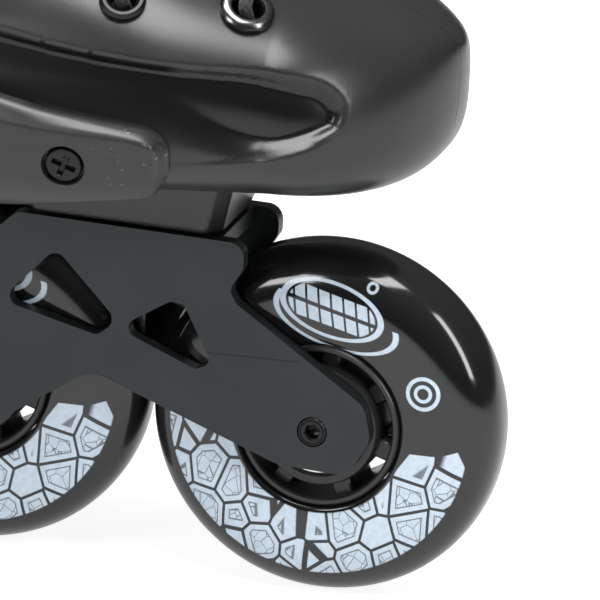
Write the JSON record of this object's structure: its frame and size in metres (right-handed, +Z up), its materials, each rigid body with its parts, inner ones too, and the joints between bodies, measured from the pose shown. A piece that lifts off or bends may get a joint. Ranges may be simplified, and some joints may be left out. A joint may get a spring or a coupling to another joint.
{
  "type": "inline skate",
  "caption": "Right hard-boot inline skate: moulded shell with hinged cuff, laced throat, ratchet buckles and a machined frame carrying spinning wheels.",
  "frame": {"origin": "centre of the skate's bounding box at the floor, under the wheels", "axes": "+X to the toe, +Y to the inner side of the right foot, +Z up"},
  "size_m": [0.323, 0.1254, 0.3452],
  "materials": {
    "shell_plastic": "satin moulded, fine grain",
    "slider_plastic": "satin moulded",
    "frame_alloy": "dark satin anodised",
    "tyre_urethane": "glossy cast",
    "hub_plastic": "moulded",
    "bearing_steel": "bright ground",
    "black_steel": "black oxide",
    "liner_fabric": "padded woven",
    "lace_cord": "braided",
    "strap_plastic": "moulded",
    "footbed_foam": "fabric-topped foam"
  },
  "bodies": {
    "boot": {"cuff_pivot_bolt_inner_side": "black_steel", "cuff_pivot_bolt_outer_side": "black_steel", "footbed": "footbed_foam", "frame": "frame_alloy", "front_mount_bolt": "black_steel", "front_mount_washer": "black_steel", "instep_anchor_inner_side": "black_steel", "instep_anchor_outer_side": "black_steel", "instep_buckle_base": "strap_plastic", "instep_ladder_strap": "strap_plastic", "instep_pad": "strap_plastic", "lace": "lace_cord", "liner": "liner_fabric", "rear_mount_bolt": "black_steel", "rear_mount_washer": "black_steel", "shell": "shell_plastic", "side_slider": "slider_plastic", "side_slider_screw_front": "black_steel", "side_slider_screw_rear": "black_steel", "tongue": "liner_fabric", "wheel_1_axle": "black_steel", "wheel_1_bearing_inner_inner_side": "bearing_steel", "wheel_1_bearing_inner_outer_side": "bearing_steel", "wheel_1_spacer": "bearing_steel", "wheel_2_axle": "black_steel", "wheel_2_bearing_inner_inner_side": "bearing_steel", "wheel_2_bearing_inner_outer_side": "bearing_steel", "wheel_2_spacer": "bearing_steel", "wheel_3_axle": "black_steel", "wheel_3_bearing_inner_inner_side": "bearing_steel", "wheel_3_bearing_inner_outer_side": "bearing_steel", "wheel_3_spacer": "bearing_steel", "wheel_4_axle": "black_steel", "wheel_4_bearing_inner_inner_side": "bearing_steel", "wheel_4_bearing_inner_outer_side": "bearing_steel", "wheel_4_spacer": "bearing_steel"},
    "wheel_1": {"wheel_1_tyre": "tyre_urethane", "wheel_1_hub": "hub_plastic", "wheel_1_bearing_outer_outer_side": "bearing_steel", "wheel_1_bearing_outer_inner_side": "bearing_steel"},
    "wheel_2": {"wheel_2_tyre": "tyre_urethane", "wheel_2_hub": "hub_plastic", "wheel_2_bearing_outer_outer_side": "bearing_steel", "wheel_2_bearing_outer_inner_side": "bearing_steel"},
    "wheel_3": {"wheel_3_tyre": "tyre_urethane", "wheel_3_hub": "hub_plastic", "wheel_3_bearing_outer_outer_side": "bearing_steel", "wheel_3_bearing_outer_inner_side": "bearing_steel"},
    "wheel_4": {"wheel_4_tyre": "tyre_urethane", "wheel_4_hub": "hub_plastic", "wheel_4_bearing_outer_outer_side": "bearing_steel", "wheel_4_bearing_outer_inner_side": "bearing_steel"},
    "cuff": {"cuff": "shell_plastic", "cuff_ladder_strap": "strap_plastic", "cuff_buckle_base": "strap_plastic"},
    "cuff_lever": {"cuff_lever": "strap_plastic"},
    "cuff_release_tab": {"cuff_release_tab": "strap_plastic"},
    "instep_lever": {"instep_lever": "strap_plastic"},
    "instep_release_tab": {"instep_release_tab": "strap_plastic"}
  },
  "joints": [
    {"name": "wheel_1_spin", "type": "hinge", "parent": "boot", "child": "wheel_1", "pos_m": [0.1215, 0.0075, 0.04], "axis": [0, 1, 0], "continuous": true},
    {"name": "wheel_2_spin", "type": "hinge", "parent": "boot", "child": "wheel_2", "pos_m": [0.0405, 0.0075, 0.04], "axis": [0, 1, 0], "continuous": true},
    {"name": "wheel_3_spin", "type": "hinge", "parent": "boot", "child": "wheel_3", "pos_m": [-0.0405, 0.0075, 0.04], "axis": [0, 1, 0], "continuous": true},
    {"name": "wheel_4_spin", "type": "hinge", "parent": "boot", "child": "wheel_4", "pos_m": [-0.1215, 0.0075, 0.04], "axis": [0, 1, 0], "continuous": true},
    {"name": "cuff_flex", "type": "hinge", "parent": "boot", "child": "cuff", "pos_m": [-0.074, 0.0075, 0.186], "axis": [0, 1, 0], "range_deg": [-4, 10], "deforming": ["liner", "tongue"]},
    {"name": "cuff_lever_hinge", "type": "hinge", "parent": "cuff", "child": "cuff_lever", "pos_m": [-0.02917, -0.04617, 0.29101], "axis": [-0.0186, -0.1693, 0.9854], "range_deg": [0, 70], "stiffness_Nm_per_rad": 0.05},
    {"name": "cuff_release_tab_hinge", "type": "hinge", "parent": "cuff", "child": "cuff_release_tab", "pos_m": [-0.0209, -0.04269, 0.29176], "axis": [0.0186, 0.1693, -0.9854], "range_deg": [0, 22], "stiffness_Nm_per_rad": 0.05},
    {"name": "instep_lever_hinge", "type": "hinge", "parent": "boot", "child": "instep_lever", "pos_m": [-0.02166, -0.04455, 0.18185], "axis": [-0.7446, 0, 0.6675], "range_deg": [0, 70], "stiffness_Nm_per_rad": 0.05},
    {"name": "instep_release_tab_hinge", "type": "hinge", "parent": "boot", "child": "instep_release_tab", "pos_m": [-0.01591, -0.0419, 0.18825], "axis": [0.7446, 0, -0.6675], "range_deg": [0, 22], "stiffness_Nm_per_rad": 0.05}
  ]
}
